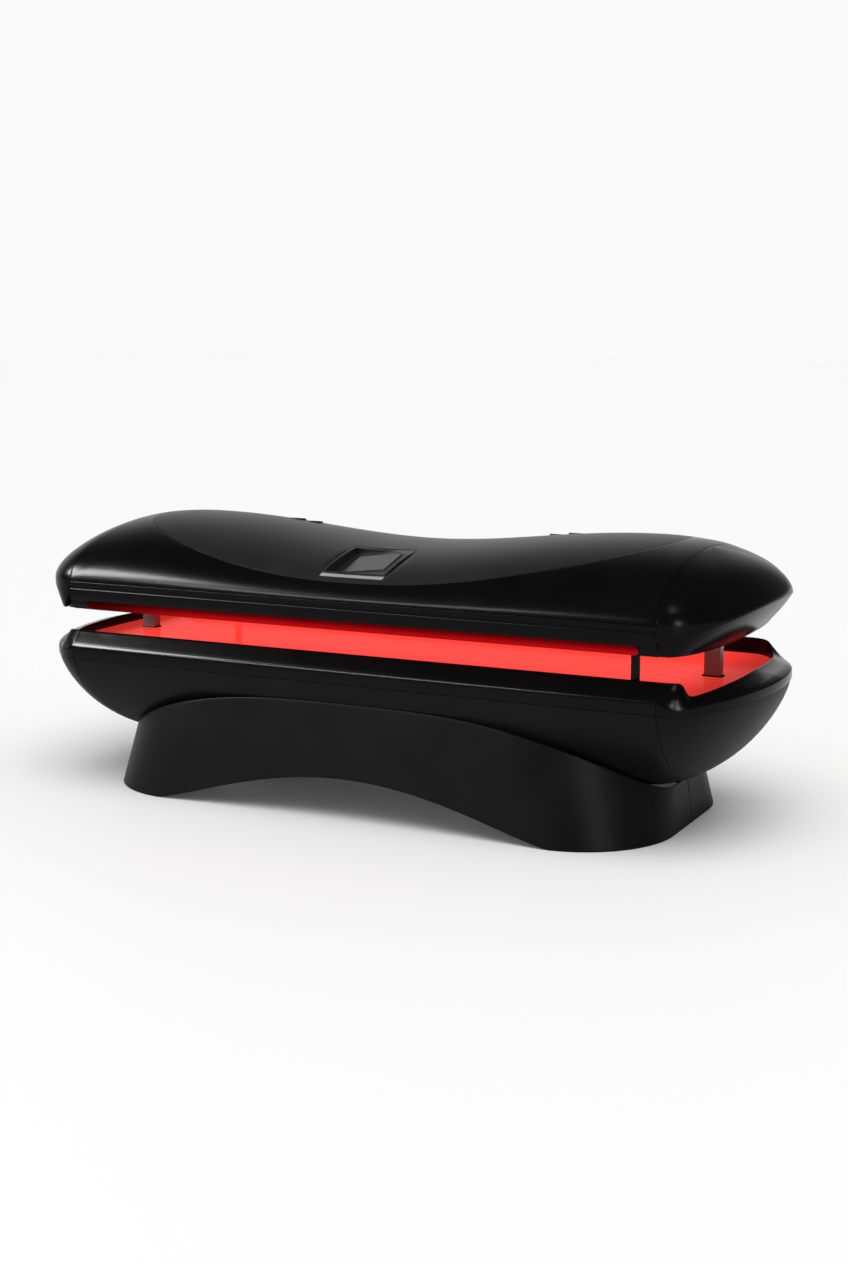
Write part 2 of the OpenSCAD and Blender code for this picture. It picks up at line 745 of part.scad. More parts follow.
// Red strips along the canopy's lower edges, short of the end pieces
module canopy_edge_lights() {
    color(RED) for (s = [-1, 1])
        rotate([90, 0, 90]) linear_extrude(height = 2 * seam_x - 104, center = true)
            mirror([s > 0 ? 0 : 1, 0]) edge_light_section();
}

module canopy_beam(s) {
    l = column_x - 29;
    color(STEEL) translate([-l, s * rail_y - 20, can_beam_z]) difference() {
        cube([2 * l, 40, can_beam_h]);
        translate([-1, 3, 3]) cube([2 * l + 2, 34, can_beam_h - 6]);
    }
}

module canopy_end_beams() {
    color(STEEL) for (s = [-1, 1])
        translate([s > 0 ? column_x - 29 : -column_x - 31, -yc + 138, can_beam_z]) difference() {
            cube([60, 2 * yc - 276, can_beam_h]);
            translate([3, -1, 3]) cube([54, 2 * yc - 274, can_beam_h - 6]);
        }
}

module canopy_heat_sink() {
    pitch = (can_deck_y - 33) / 13;
    fin_x = column_x - 34;
    color(ALU) {
        difference() {
            translate([-can_deck_x, -can_deck_y - 10, sink_z])
                cube([2 * can_deck_x, 2 * can_deck_y + 20, sink_t]);
            for (s = [-1, 1]) translate([s * column_x - hole_a / 2, -hole_b / 2, sink_z - 1])
                cube([hole_a, hole_b, sink_t + 2]);
        }
        for (i = [-13:13]) if (abs(abs(i * pitch) - rail_y) > 24)
            translate([-fin_x, i * pitch - 1.5, can_beam_z - 0.5]) cube([2 * fin_x, 3, 20]);
    }
}

module canopy_led_boards() {
    led_boards(sink_z, -1);
}

module canopy_acrylic() {
    color(RED) translate([-can_deck_x, -can_deck_y, can_ledge_z]) difference() {
        cube([2 * can_deck_x, 2 * can_deck_y, acrylic_t]);
        for (s = [-1, 1]) translate([can_deck_x + s * column_x - hole_a / 2, can_deck_y - hole_b / 2, -1])
            cube([hole_a, hole_b, acrylic_t + 2]);
    }
}

module canopy_fan_frames() {
    color(RUBBER) for (s = [-1, 1]) translate([s * can_fan_x, 0, can_beam_z + can_beam_h]) fan_frame();
}

module canopy_fan_rotor(s) {
    color(SATIN) translate([s * can_fan_x, 0, can_beam_z + can_beam_h + 6]) fan_rotor();
}

module canopy_vents() {
    color(RUBBER) at_vents() translate([0, 0, -16]) {
        difference() {
            cylinder(r = vent_r, h = 18);
            translate([0, 0, -1]) cylinder(r = vent_r - 4, h = 30);
        }
        for (i = [-2:2]) translate([-sqrt(pow(vent_r - 3, 2) - pow(9 * i, 2)), 9 * i - 2, 10])
            cube([2 * sqrt(pow(vent_r - 3, 2) - pow(9 * i, 2)), 4, 5]);
    }
}

// Tray whose floor leans so that it runs out at the right
module screen_floor(e) {
    in_screen() rotate([0, -screen_lean, 0]) translate([-screen_w, -screen_l / 2 + e, -13])
        cube([2 * screen_w, screen_l - 2 * e, 100]);
}

module display_bezel() {
    color(SATIN) intersection() {
        difference() {
            screen_block(fit, 32);
            intersection() {
                screen_floor(8);
                screen_block(6, 60);
            }
        }
        canopy_solid(0, 0);
    }
}

module display_glass() {
    color(RUBBER) in_screen() rotate([0, -screen_lean, 0])
        translate([-64, -58, -13]) cube([138, 116, 3]);
}

skirt_front();
skirt_rear();
skirt_joiners();
skirt_screws();
levelling_feet();
plinth_beam(-beam_x);  // plinth_beam_left
plinth_beam(beam_x);  // plinth_beam_right
chassis_legs();
chassis_rail(-1);  // chassis_rail_front
chassis_rail(1);  // chassis_rail_rear
hull_side(-1);  // hull_side_front
hull_side(1);  // hull_side_rear
hull_end(-1);  // hull_end_left
hull_end(1);  // hull_end_right
hull_ribs();
bed_rail(-1);  // bed_rail_front
bed_rail(1);  // bed_rail_rear
bed_rim(-1);  // bed_rim_left
bed_rim(1);  // bed_rim_right
bed_cross_bars();
bed_heat_sink();
bed_led_boards();
bed_acrylic();
column_brackets();
column_outer(-1);  // column_outer_left
column_outer(1);  // column_outer_right
column_collars();
lift_motors();
power_supplies();
control_box();
bed_fan_frames();
rest_posts();
rest_buffers();
power_inlet();
power_rocker();
bed_fan_rotor(-1);  // bed_fan_rotor_left
bed_fan_rotor(1);  // bed_fan_rotor_right
column_middle(-1);  // column_middle_left
column_middle(1);  // column_middle_right
column_inner(-1);  // column_inner_left
column_inner(1);  // column_inner_right
canopy_fan_rotor(-1);  // canopy_fan_rotor_left
canopy_fan_rotor(1);  // canopy_fan_rotor_right
canopy_shell();
canopy_top_inlay();
canopy_cap(-1);  // canopy_cap_left
canopy_cap(1);  // canopy_cap_right
canopy_rail(-1);  // canopy_rail_front
canopy_rail(1);  // canopy_rail_rear
canopy_beam(-1);  // canopy_beam_front
canopy_beam(1);  // canopy_beam_rear
canopy_end_beams();
canopy_heat_sink();
canopy_led_boards();
canopy_acrylic();
canopy_fan_frames();
canopy_vents();
display_bezel();
display_glass();
canopy_edge_lights();
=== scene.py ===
"""Looks of the light therapy capsule: covers, sheets, trim, materials, floor, light and camera.

Metres, +Z up, X along the bed, -Y towards the front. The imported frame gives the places.
"""

import math

import bmesh
import bpy
import numpy as np
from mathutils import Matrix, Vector, geometry


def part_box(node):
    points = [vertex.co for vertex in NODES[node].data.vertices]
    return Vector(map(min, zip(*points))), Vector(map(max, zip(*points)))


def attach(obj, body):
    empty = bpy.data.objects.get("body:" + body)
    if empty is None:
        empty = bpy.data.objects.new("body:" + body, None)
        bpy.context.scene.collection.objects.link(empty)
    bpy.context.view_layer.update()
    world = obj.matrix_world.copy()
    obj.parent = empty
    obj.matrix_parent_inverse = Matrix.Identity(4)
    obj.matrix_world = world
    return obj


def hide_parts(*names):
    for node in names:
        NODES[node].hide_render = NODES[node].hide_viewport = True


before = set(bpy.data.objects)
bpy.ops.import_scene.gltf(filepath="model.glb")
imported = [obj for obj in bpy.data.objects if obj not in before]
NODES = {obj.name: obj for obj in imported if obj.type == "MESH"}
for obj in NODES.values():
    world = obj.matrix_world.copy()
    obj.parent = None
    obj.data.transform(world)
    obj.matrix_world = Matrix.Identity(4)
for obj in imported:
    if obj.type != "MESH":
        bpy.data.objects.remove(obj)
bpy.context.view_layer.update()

# Sizes that the covers share with the solids
BED_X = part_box("bed_rim_right")[1].x
BED_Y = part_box("bed_rail_rear")[1].y
RAIL_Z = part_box("bed_rail_front")[1].z
BAND_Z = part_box("bed_rail_front")[0].z
DECK_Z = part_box("bed_acrylic")[1].z
SEAM_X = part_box("bed_rail_front")[1].x
HULL_DROP = BAND_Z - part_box("hull_side_front")[0].z
HULL_X, HULL_Y = BED_X - 0.003, BED_Y - 0.003
HULL_C = SEAM_X - 0.170
PLINTH_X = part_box("skirt_front")[1].x
PLINTH_Y = -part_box("skirt_front")[0].y
SKIRT_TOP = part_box("skirt_front")[1].z
LOW_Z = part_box("canopy_rail_front")[0].z
SIDE_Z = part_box("canopy_rail_front")[1].z
CAN_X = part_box("canopy_cap_right")[1].x
CAN_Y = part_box("canopy_shell")[1].y
CAN_C = SEAM_X - 0.060
INLAY_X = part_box("canopy_top_inlay")[1].x
INLAY_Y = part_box("canopy_top_inlay")[1].y
COLUMN_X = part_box("column_middle_right")[0].x / 2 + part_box("column_middle_right")[1].x / 2

# Seams: side pieces stop before SEAM_X and end pieces start after it
HALF_GAP = 0.0008
SIDE_END = SEAM_X - HALF_GAP
END_START = SEAM_X + HALF_GAP

# Superellipse exponents of the plan outlines
CAN_P = 1.95
BED_P = 1.9
INLAY_P = 2.4

# Exponents of the canopy's dome and of the hull's bowl
DOME_P = 1.8
BOWL_RING_P, BOWL_P = 2.2, 1.4


# Shader nodes


def map_range(tree, value, low, high, before=0.0, after=1.0, kind="LINEAR"):
    """Takes value from low..high to before..after."""
    node = tree.nodes.new("ShaderNodeMapRange")
    node.interpolation_type = kind
    node.inputs["From Min"].default_value = low
    node.inputs["From Max"].default_value = high
    node.inputs["To Min"].default_value = before
    node.inputs["To Max"].default_value = after
    tree.links.new(value, node.inputs["Value"])
    return node.outputs["Result"]


def smooth_step(tree, value, low, high, before=0.0, after=1.0):
    """The same with soft ends."""
    return map_range(tree, value, low, high, before, after, "SMOOTHSTEP")


def math_node(tree, operation, first, second=None):
    node = tree.nodes.new("ShaderNodeMath")
    node.operation = operation
    tree.links.new(first, node.inputs[0])
    if second:
        tree.links.new(second, node.inputs[1])
    return node.outputs["Value"]


def noise(tree, scale, detail=2.0, coords=None):
    node = tree.nodes.new("ShaderNodeTexNoise")
    node.inputs["Scale"].default_value = scale
    node.inputs["Detail"].default_value = detail
    if coords:
        tree.links.new(coords, node.inputs["Vector"])
    return node.outputs["Fac"]


def object_coords(tree):
    return tree.nodes.new("ShaderNodeTexCoord").outputs["Object"]


def axis_of(tree, coords, axis):
    """One coordinate, axis X, Y or Z."""
    part = tree.nodes.new("ShaderNodeSeparateXYZ")
    tree.links.new(coords, part.inputs["Vector"])
    return part.outputs[axis]


def background(tree, level):
    node = tree.nodes.new("ShaderNodeBackground")
    node.inputs["Color"].default_value = (level, level, level, 1)
    return node.outputs["Background"]


def mix_shader(tree, share, first, second):
    """First shader where share is 0, second where it is 1."""
    node = tree.nodes.new("ShaderNodeMixShader")
    tree.links.new(share, node.inputs["Fac"])
    tree.links.new(first, node.inputs[1])
    tree.links.new(second, node.inputs[2])
    return node.outputs["Shader"]


# Materials


def new_material(name, color, rough, bump=0.0, scale=400.0, spread=0.06, metal=0.0, spec=0.5):
    """Principled material with clouds in its colour and roughness, and a fine grain of bump."""
    m = bpy.data.materials.new(name)
    m.use_nodes = True
    t = m.node_tree
    shader = t.nodes["Principled BSDF"]
    shader.inputs["Metallic"].default_value = metal
    shader.inputs["Specular IOR Level"].default_value = spec
    coords = object_coords(t)
    cloud = noise(t, 6.0, 5.0, coords)
    tint = t.nodes.new("ShaderNodeValToRGB")
    for stop, position, factor in zip(tint.color_ramp.elements, (0.35, 0.65), (0.86, 1.14)):
        stop.position = position
        stop.color = (*[min(1, c * factor) for c in color], 1)
    t.links.new(cloud, tint.inputs["Fac"])
    t.links.new(paler_edges_colour(t, tint.outputs["Color"], color), shader.inputs["Base Color"])
    sheen = map_range(t, cloud, 0, 1, max(0.02, rough - spread), rough + spread)
    t.links.new(sheen, shader.inputs["Roughness"])
    if bump:
        raised = t.nodes.new("ShaderNodeBump")
        raised.inputs["Strength"].default_value = bump
        raised.inputs["Distance"].default_value = 0.0004
        t.links.new(noise(t, scale, 2.0, coords), raised.inputs["Height"])
        t.links.new(raised.outputs["Normal"], shader.inputs["Normal"])
    return m


def paler_edges_colour(tree, tinted, color):
    """Slightly paler along edges, in patches."""
    shape = tree.nodes.new("ShaderNodeNewGeometry")
    edge = map_range(tree, shape.outputs["Pointiness"], 0.54, 0.66, 0.0, 0.6)
    mix = tree.nodes.new("ShaderNodeMixRGB")
    mix.inputs["Color2"].default_value = (*[min(1, c * 1.8 + 0.004) for c in color], 1)
    tree.links.new(math_node(tree, "MULTIPLY", edge, noise(tree, 45.0)), mix.inputs["Fac"])
    tree.links.new(tinted, mix.inputs["Color1"])
    return mix.outputs["Color"]


# Metres between two bands of a wave texture whose scale is 1
WAVE_PITCH = 0.3142


def lit_sheet(name, glow, strength, pitch, base, spec, fade):
    """Acrylic lit from behind, with soft bands along the lamps' rows; also gives the glow of the rails'
    painted reflection.

    fade is an axis, start, end and share: from start to end of the distance from the middle along
    the axis, the light falls to that share.
    """
    m = new_material(name, base, 0.12, spread=0.03, spec=spec)
    t = m.node_tree
    shader = t.nodes["Principled BSDF"]
    shader.inputs["IOR"].default_value = 1.05
    coords = object_coords(t)
    rows = t.nodes.new("ShaderNodeTexWave")
    rows.bands_direction = "Y"
    rows.wave_profile = "SIN"
    rows.inputs["Scale"].default_value = WAVE_PITCH / pitch
    rows.inputs["Distortion"].default_value = 0.0
    t.links.new(coords, rows.inputs["Vector"])
    level = map_range(t, rows.outputs["Fac"], 0, 1, strength * 0.9, strength)
    axis, start, end, share = fade
    along = math_node(t, "ABSOLUTE", axis_of(t, coords, axis))
    fall = smooth_step(t, along, start, end, 1.0, share)
    shader.inputs["Emission Color"].default_value = (*glow, 1)
    t.links.new(math_node(t, "MULTIPLY", level, fall), shader.inputs["Emission Strength"])
    return m


def dim_left(material, dark, full, share):
    """Lowers a glowing sheet's light to a share of it left of x = dark, as the photograph shows: painted
    shade.
    """
    t = material.node_tree
    strength = t.nodes["Principled BSDF"].inputs["Emission Strength"]
    fall = smooth_step(t, axis_of(t, object_coords(t), "X"), dark, full, share, 1.0)
    t.links.new(math_node(t, "MULTIPLY", strength.links[0].from_socket, fall), strength)


BLACK = (0.003, 0.003, 0.0032)
SATIN_GREY = (0.017, 0.017, 0.0174)
CHARCOAL_GREY = (0.0062, 0.0062, 0.0064)
GLOSS = new_material("gloss_black", BLACK, 0.25, bump=0.012, scale=900, spread=0.03, spec=0.07)
SATIN = new_material("satin_grey", SATIN_GREY, 0.36, bump=0.06, scale=1400, spread=0.03, spec=0.10)
CHARCOAL = new_material("charcoal_grain", CHARCOAL_GREY, 0.42, bump=0.12, scale=1100, spec=0.07)
BAND = new_material("satin_black", BLACK, 0.20, bump=0.02, scale=1200, spread=0.02, spec=0.09)
STEEL = new_material("brushed_column", (0.16, 0.16, 0.165), 0.36, bump=0.10, scale=300, metal=0.6)
FRAME_PAINT = new_material("grey_frame", (0.20, 0.21, 0.22), 0.5, bump=0.1, scale=500)
ALUMINIUM = new_material("mill_aluminium", (0.62, 0.63, 0.65), 0.34, bump=0.08, scale=250, metal=1.0)
TRIM = new_material("satin_trim", (0.31, 0.31, 0.315), 0.42, bump=0.06, scale=700, spread=0.04, spec=0.2)
RUBBER = new_material("black_rubber", (0.012, 0.012, 0.012), 0.72, bump=0.2, scale=700, spec=0.2)
BOARD = new_material("lamp_board", (0.03, 0.16, 0.07), 0.35, bump=0.05, scale=200)
GLASS = new_material("screen_glass", (0.030, 0.031, 0.033), 0.20, spread=0.02, spec=0.5)
BEZEL = new_material("bezel_black", (0.020, 0.020, 0.021), 0.34, bump=0.03, scale=1200, spec=0.3)
PART_BLACK = new_material("moulded_black", (0.008, 0.008, 0.009), 0.40, bump=0.05, scale=1000, spec=0.2)
DECK = lit_sheet("lit_deck", (1.0, 0.055, 0.040), 1.0, 0.05, (0.12, 0.006, 0.004), 0.10,
                 ("X", 0.82, 1.02, 0.5))
HOOD = lit_sheet("lit_hood", (1.0, 0.05, 0.04), 0.8, 0.05, (0.2, 0.01, 0.01), 0.15,
                 ("X", 0.80, 1.00, 0.3))
# Red glow in the canopy rails' tucked lower faces: a painted reflection of the lit deck, fading upwards and
# darker at the left as painted shade
PAINTED_REFLECTION = lit_sheet("painted_deck_reflection", (1.0, 0.006, 0.012), 0.42, 0.012, (0.02, 0.001, 0.001), 0.05,
                 ("Z", 0.549, 0.571, 0.22))
dim_left(PAINTED_REFLECTION, -0.85, -0.45, 0.12)


# Meshes


def add_object(name, verts, faces, material, smooth=True):
    mesh = bpy.data.meshes.new(name)
    mesh.from_pydata([tuple(v) for v in verts], [], [tuple(f) for f in faces])
    mesh.materials.append(material)
    made = bmesh.new()
    made.from_mesh(mesh)
    bmesh.ops.remove_doubles(made, verts=made.verts, dist=1e-6)
    bmesh.ops.recalc_face_normals(made, faces=made.faces)
    made.to_mesh(mesh)
    made.free()
    if smooth:
        mesh.shade_smooth()
    obj = bpy.data.objects.new(name, mesh)
    bpy.context.scene.collection.objects.link(obj)
    return obj


def grid_faces(rows, cols, wrap=False):
    """Quads of a grid of points, also from the last column to the first if wrap is set."""
    last = cols if wrap else cols - 1
    return [
        (i * cols + j, i * cols + (j + 1) % cols, (i + 1) * cols + (j + 1) % cols, (i + 1) * cols + j)
        for i in range(rows - 1)
        for j in range(last)
    ]


def add_grid(name, pts, material, wrap=False):
    """Object through a rows x columns x 3 array of points."""
    rows, cols = pts.shape[:2]
    return add_object(name, pts.reshape(-1, 3), grid_faces(rows, cols, wrap), material)


def add_tube(name, pts, material):
    """The same with wrapped rows, and a face over each end."""
    rows, cols = pts.shape[:2]
    faces = grid_faces(rows, cols, wrap=True)
    faces += [tuple(range(cols)), tuple((rows - 1) * cols + k for k in range(cols))]
    return add_object(name, pts.reshape(-1, 3), faces, material)


def round_edges(obj, edge, segments=3):
    bevel = obj.modifiers.new("edges", "BEVEL")
    bevel.width = edge
    bevel.segments = segments
    bevel.limit_method = "ANGLE"
    bevel.angle_limit = math.radians(38)
    bevel.harden_normals = False


def thicken(obj, wall, edge=0.0012):
    """Gives a skin its wall, towards the inside, and rounds its edges."""
    solid = obj.modifiers.new("wall", "SOLIDIFY")
    solid.thickness = wall
    solid.offset = -1.0
    solid.use_even_offset = True
    round_edges(obj, edge)


def sharpen(obj, degrees=35):
    """Keeps hard edges hard on a smooth mesh."""
    obj.data.shade_smooth()
    obj.data.set_sharp_from_angle(angle=math.radians(degrees))


def face_out(obj, centre):
    """Turns the skin's faces away from a point inside."""
    mesh = obj.data
    votes = sum((f.center - Vector(centre)).dot(f.normal) * f.area for f in mesh.polygons)
    if votes < 0:
        mesh.flip_normals()


def place(obj, body, node):
    """Puts a piece on its body and in a node's place."""
    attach(obj, body)
    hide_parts(node)


def end_tag(side):
    return "right" if side > 0 else "left"


def side_tag(side):
    return "rear" if side > 0 else "front"


# Curves


def catmull(points, steps=4):
    """Smooth curve through points, with the given number of steps between two of them."""
    p = np.array(points, float)
    p = np.vstack([2 * p[0] - p[1], p, 2 * p[-1] - p[-2]])
    out = []
    for a, b, c, d in zip(p[:-3], p[1:-2], p[2:-1], p[3:]):
        for k in range(steps):
            u = k / steps
            out.append(0.5 * (2 * b + (c - a) * u + (2 * a - 5 * b + 4 * c - d) * u**2
                              + (3 * b - a - 3 * c + d) * u**3))
    out.append(p[-2])
    return np.array(out)


def smooth(value, low, high):
    """Rises smoothly from 0 at low to 1 at high."""
    u = np.clip((value - low) / (high - low), 0, 1)
    return u * u * (3 - 2 * u)


def soft_switch(value, middle, width):
    """Rises from 0 to 1 round middle, faster the smaller the width."""
    return 1 / (1 + np.exp(-(value - middle) / width))


def superellipse(a, b, p, n):
    """Closed loop of n points with the half axes a and b."""
    angle = np.linspace(0, 2 * np.pi, n, endpoint=False)
    c, s = np.cos(angle), np.sin(angle)
    return np.stack([a * np.sign(c) * np.abs(c) ** (2 / p), b * np.sign(s) * np.abs(s) ** (2 / p)], 1)


def rounded_loop(x0, x1, y0, y1, r, n=5):
    """Points round a rectangle with corners of radius r."""
    corners = [(x1 - r, y0 + r, -90), (x1 - r, y1 - r, 0), (x0 + r, y1 - r, 90), (x0 + r, y0 + r, 180)]
    loop = []
    for cx, cy, start in corners:
        for k in range(n + 1):
            angle = math.radians(start + 90 * k / n)
            loop.append((cx + r * math.cos(angle), cy + r * math.sin(angle)))
    return loop


def end_outline(t, start, xe, b, p):
    """Superellipse end of a plan loop from x = start round xe and back, t from -1 to 1."""
    u0 = np.clip((start - SEAM_X) / (xe - SEAM_X), 1e-6, 1)
    angle = t * math.acos(u0 ** (p / 2))
    c, s = np.abs(np.cos(angle)), np.sin(angle)
    return SEAM_X + (xe - SEAM_X) * c ** (2 / p), b * np.sign(s) * np.abs(s) ** (2 / p)


# Canopy: the ridge is low in the middle and highest at CREST_X
CREST_X = 0.740
RIDGE_LOW, RIDGE_HIGH = 0.124, 0.1767


def ridge(x):
    """Rise of the canopy's top line above its side rails."""
    a = np.abs(x)
    wave = np.where(a < CREST_X, 0.5 - 0.5 * np.cos(np.pi * a / CREST_X), 1.0)
    return RIDGE_LOW + (RIDGE_HIGH - RIDGE_LOW) * wave - 0.5 * np.maximum(a - CREST_X, 0) ** 2


def share_of_ring(x, y):
    """Size of the shrunk canopy outline through a point: 0 on the middle line, 1 on the outline."""
    a, v = np.abs(x), np.abs(y) / CAN_Y
    low, high = np.full(np.shape(a + v), 1e-4), np.ones(np.shape(a + v)) * 1.02
    for _ in range(40):
        mid = (low + high) / 2
        u = np.clip((CAN_C + np.maximum(a - CAN_C, 0) / mid - SEAM_X) / (CAN_X - SEAM_X), 0, None)
        outside = u**CAN_P + (v / mid) ** CAN_P > 1
        low, high = np.where(outside, mid, low), np.where(outside, high, mid)
    return high


def canopy_z(x, y):
    """Height of the canopy's top."""
    r = np.minimum(share_of_ring(x, y), 1)
    return SIDE_Z + ridge(x) * (1 - r**2) ** (1 / DOME_P)


def build_cover():
    """Glossy cover between the inlay and the side rails and caps."""
    n, steps = 64, 34
    t = np.linspace(0, 1, n, endpoint=False)
    edge_x, edge_y = SIDE_END, CAN_Y
    front = np.stack([-edge_x + 2 * edge_x * t, np.full(n, -edge_y)], 1)
    right = np.stack([np.full(n, edge_x), -edge_y + 2 * edge_y * t], 1)
    outer = np.concatenate([front, right, -front, -right])
    a, b = INLAY_X + 0.0012, INLAY_Y + 0.0012
    inner = ((np.abs(outer[:, 0]) / a) ** INLAY_P + (np.abs(outer[:, 1]) / b) ** INLAY_P) ** (-1 / INLAY_P)
    s = 1 - (1 - np.linspace(0, 1, steps)) ** 2.0
    mix = inner[None, :] + (1 - inner[None, :]) * s[:, None]
    x, y = outer[None, :, 0] * mix, outer[None, :, 1] * mix
    pts = np.stack([x, y, canopy_z(x, y)], 2)
    on_side = np.abs(pts[-1, :, 1]) > CAN_Y - 1e-6
    pts[-1, :, 2] = np.where(on_side, SIDE_Z + HALF_GAP, pts[-1, :, 2])
    obj = add_grid("canopy_cover", pts, GLOSS, wrap=True)
    face_out(obj, (0, 0, SIDE_Z - 2))
    thicken(obj, 0.005)
    place(obj, "canopy", "canopy_shell")


# Openings in the inlay: half width, front and rear of the screen's, and the vents' middles
SCREEN_X, SCREEN_FRONT, SCREEN_REAR = 0.100, -0.378, -0.158
VENTS = [(-0.471, 0.142), (-0.411, 0.142), (0.411, 0.142), (0.471, 0.142)]
VENT_R = 0.026
# Distance of the inlay's free points from its edges
CLEAR = 0.008


def inlay_reach(x, y, inset=0.0):
    """Below 1 inside the inlay's outline moved inwards by inset, above 1 outside."""
    return (np.abs(x) / (INLAY_X - inset)) ** INLAY_P + (np.abs(y) / (INLAY_Y - inset)) ** INLAY_P


def inlay_holes():
    """Loops of the screen's opening and the vents."""
    holes = [np.array(rounded_loop(-SCREEN_X, SCREEN_X, SCREEN_FRONT, SCREEN_REAR, 0.004))]
    for x, y in VENTS:
        holes.append(superellipse(VENT_R, VENT_R, 2, 36) + [x, y])
    return holes


def inlay_grid(pitch=0.016):
    """Points of a square grid that keep clear of the inlay's edges."""
    x, y = np.meshgrid(np.arange(-INLAY_X, INLAY_X, pitch), np.arange(-INLAY_Y, INLAY_Y, pitch))
    free = inlay_reach(x, y, 0.018) < 1
    in_screen = (np.abs(x) < SCREEN_X + CLEAR) & (y > SCREEN_FRONT - CLEAR) & (y < SCREEN_REAR + CLEAR)
    free &= ~in_screen
    for vx, vy in VENTS:
        free &= np.hypot(x - vx, y - vy) > VENT_R + CLEAR
    return np.stack([x[free], y[free]], 1)


def in_inlay(x, y):
    """Whether a face with this middle belongs to the inlay and not to an opening."""
    in_screen = abs(x) < SCREEN_X and SCREEN_FRONT < y < SCREEN_REAR
    in_vent = any(math.hypot(x - vx, y - vy) < VENT_R * 0.99 for vx, vy in VENTS)
    return not in_screen and not in_vent and inlay_reach(x, y) <= 1.0005


def build_inlay():
    """Satin inlay with the openings of the screen and the vents."""
    points, edges = [], []
    for loop in [superellipse(INLAY_X, INLAY_Y, INLAY_P, 220), *inlay_holes()]:
        start = len(points)
        points += [Vector(p) for p in loop]
        edges += [(start + k, start + (k + 1) % len(loop)) for k in range(len(loop))]
    points += [Vector(p) for p in superellipse(INLAY_X - CLEAR, INLAY_Y - CLEAR, INLAY_P, 220)]
    points += [Vector(p) for p in inlay_grid()]
    verts, _, faces, *_ = geometry.delaunay_2d_cdt(points, edges, [], 0, 1e-6)
    flat = np.array([tuple(v) for v in verts])
    kept = [f for f in faces if in_inlay(*flat[list(f)].mean(0))]
    z = canopy_z(flat[:, 0], flat[:, 1])
    obj = add_object("canopy_inlay", np.column_stack([flat, z]), kept, SATIN)
    face_out(obj, (0, 0, SIDE_Z - 2))
    thicken(obj, 0.003, 0.0010)
    place(obj, "canopy", "canopy_top_inlay")


def build_screen_strips():
    """Pale strips in the front and rear ends of the screen's recess, just below the inlay's top."""
    gap, sunk = 0.0006, 0.0012
    half = SCREEN_X - gap
    for tag, y0, y1 in (("front", SCREEN_FRONT + gap, -0.3612), ("rear", -0.1648, SCREEN_REAR - gap)):
        x, y = np.meshgrid(np.linspace(-half, half, 25), np.linspace(y0, y1, 5))
        obj = add_grid("screen_strip_" + tag, np.stack([x, y, canopy_z(x, y) - sunk], 2), TRIM)
        face_out(obj, (0, 0, SIDE_Z - 2))
        thicken(obj, 0.003, 0.0006)
        place(obj, "canopy", "canopy_top_inlay")


# Caps: the lower edge's outline, the height of the crease at the seams and its rise to the middle
LIP_X, LIP_P = CAN_X - 0.087, 2.35
CAP_CREASE, CAP_RISE = 0.600, 0.055
# How much fuller than an ellipse each cap's dome is: the photograph shows the right one higher
FULLER = {-1: 0.1, 1: 0.9}


def lip(t, inset):
    """Lower edge of a cap, moved inwards by inset, t from -1 to 1."""
    return np.stack(end_outline(t, END_START, LIP_X - inset, CAN_Y - inset, LIP_P), 1)


def build_cap(side):
    """End cap of the canopy: dome, crease along the widest line, and a lip that tucks in below."""
    t = np.linspace(-1, 1, 161)
    crease = CAP_CREASE + CAP_RISE * (1 - smooth(np.abs(t), 0.05, 0.95))
    base = np.maximum(SIDE_Z, crease)
    rows = []
    first = (END_START - CAN_C) / (CAN_X - CAN_C)
    for r in first + (1 - first) * np.sin(np.linspace(0, np.pi / 2, 38)) ** 0.9:
        start = CAN_C + (END_START - CAN_C) / r
        ox, oy = end_outline(t, start, CAN_X, CAN_Y, CAN_P)
        x, y = CAN_C + r * (ox - CAN_C), r * oy
        full = 2 + FULLER[side] * smooth(x, SEAM_X, CAN_X - 0.02)
        z = base + (SIDE_Z + ridge(x) - base) * (1 - min(r, 1) ** full) ** (1 / DOME_P)
        rows.append(np.stack([x, y, z], 1))
    widest = rows[-1]
    for k in (0.3, 0.6, 0.85, 1.0):
        rows.append(np.column_stack([widest[:, :2], base + (crease - base) * k]))
    edge = lip(t, 0)
    low = LOW_Z + 0.003 + 0.042 * (1 - smooth(edge[:, 0], 0.921, 0.948))
    for s in (0.03, 0.1, 0.22, 0.36, 0.5, 0.64, 0.77, 0.88, 0.96, 1.0):
        bulge = 0.06 * math.sin(math.pi * s)
        xy = widest[:, :2] + (edge - widest[:, :2]) * (s - bulge)
        rows.append(np.column_stack([xy, crease + (low + 0.006 - crease) * s]))
    for inset, rise in ((0.0012, 0.0025), (0.0035, 0.0006), (0.007, 0.0), (0.020, 0.002)):
        rows.append(np.column_stack([lip(t, inset), low + rise]))
    pts = np.array(rows)
    pts[:, :, 0] *= side
    obj = add_grid("canopy_end_" + end_tag(side), pts, GLOSS)
    face_out(obj, (side * 0.7, 0, LOW_Z + 0.05))
    thicken(obj, 0.003)
    place(obj, "canopy", "canopy_cap_" + end_tag(side))


